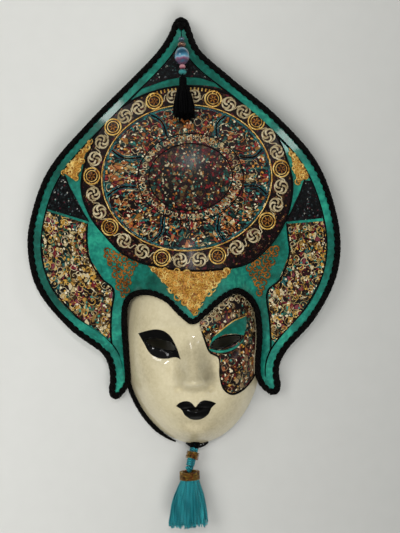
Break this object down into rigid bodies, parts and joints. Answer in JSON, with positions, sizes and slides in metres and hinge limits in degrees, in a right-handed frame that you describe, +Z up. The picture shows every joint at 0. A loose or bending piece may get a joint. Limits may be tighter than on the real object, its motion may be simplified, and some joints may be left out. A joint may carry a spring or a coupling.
{
  "type": "venetian masquerade mask",
  "caption": "Venetian mask: a lacquered face under a winged, gilded crown, hung by a cord loop, with a bead pendant and a chin tassel.",
  "frame": {"origin": "inner top of the hanging cord loop, where the nail carries it, in the plane of the back rim for X and 2.3 mm behind the cord's front for Y", "axes": "+Z up along the mask, -Y out of the face towards the viewer, +X to the viewer's right"},
  "size_m": [0.3246, 0.0764, 0.5294],
  "materials": {
    "teal_lacquer": "lacquered papier-mache, glossy",
    "ivory_lacquer": "lacquered papier-mache, glossy",
    "black_braid": "matt gimp braid",
    "painted_paper": "painted and varnished",
    "glitter_paper": "glitter",
    "gold_paste": "gilded paste relief",
    "black_cord": "waxed cord",
    "glass_bead": "glossy opaque",
    "bronze_bead": "aged",
    "lampwork_glass": "glossy opaque, coloured swirls",
    "black_thread": "silky thread",
    "teal_thread": "silky thread",
    "seed_beads": "rows of seed beads"
  },
  "bodies": {
    "mask": {"headpiece_shell": "teal_lacquer", "face_shell": "ivory_lacquer", "edge_braid": "black_braid", "brow_braid": "black_braid", "jaw_braid": "black_braid", "chin_band": "black_braid", "rim_ridge": "teal_lacquer", "medallion_disc": "painted_paper", "eye_paper": "painted_paper", "wing_paper_right": "painted_paper", "wing_paper_left": "painted_paper", "corner_panel_right": "painted_paper", "corner_panel_left": "painted_paper", "peak_panel": "glitter_paper", "upper_gilding_right": "gold_paste", "upper_gilding_left": "gold_paste", "lower_gilding_right": "gold_paste", "lower_gilding_left": "gold_paste", "brow_gilding": "gold_paste", "hang_loop": "black_cord", "loop_patch": "black_braid", "peak_knot": "black_cord", "chin_tassel_stem": "teal_thread", "upper_bead_band": "seed_beads"},
    "pendant_ring": {"pendant_eye": "black_cord"},
    "pendant_string": {"pendant_cord": "black_cord", "top_bead": "glass_bead", "bronze_bead": "bronze_bead", "pink_bead": "glass_bead", "teal_bead": "glass_bead"},
    "pendant_lampwork": {"lampwork_bead": "lampwork_glass"},
    "pendant_tassel": {"pendant_tassel_head": "black_thread", "pendant_tassel_skirt": "black_thread"},
    "chin_knot": {"chin_tassel_knot": "teal_thread"},
    "chin_tassel": {"lower_bead_band": "seed_beads", "chin_tassel_skirt": "teal_thread"}
  },
  "joints": [
    {"name": "pendant_sway", "type": "hinge", "parent": "mask", "child": "pendant_ring", "pos_m": [0, -0.02452, -0.018], "axis": [0, 1, 0], "range_deg": [-12, 12]},
    {"name": "pendant_lift", "type": "hinge", "parent": "pendant_ring", "child": "pendant_string", "pos_m": [0, -0.02452, -0.018], "axis": [-1, 0, 0], "range_deg": [0, 60]},
    {"name": "lampwork_spin", "type": "hinge", "parent": "pendant_string", "child": "pendant_lampwork", "pos_m": [0, -0.03576, -0.045], "axis": [0, 0.3843, 0.9232], "continuous": true},
    {"name": "pendant_tassel_swing", "type": "hinge", "parent": "pendant_string", "child": "pendant_tassel", "pos_m": [0, -0.04447, -0.06592], "axis": [0, -0.9232, 0.3843], "range_deg": [-20, 20]},
    {"name": "chin_tassel_sway", "type": "hinge", "parent": "mask", "child": "chin_knot", "pos_m": [-0.009, -0.016, -0.468], "axis": [0, 1, 0], "range_deg": [-20, 20]},
    {"name": "chin_tassel_lift", "type": "hinge", "parent": "chin_knot", "child": "chin_tassel", "pos_m": [-0.009, -0.016, -0.468], "axis": [-1, 0, 0], "range_deg": [-3, 35]}
  ]
}
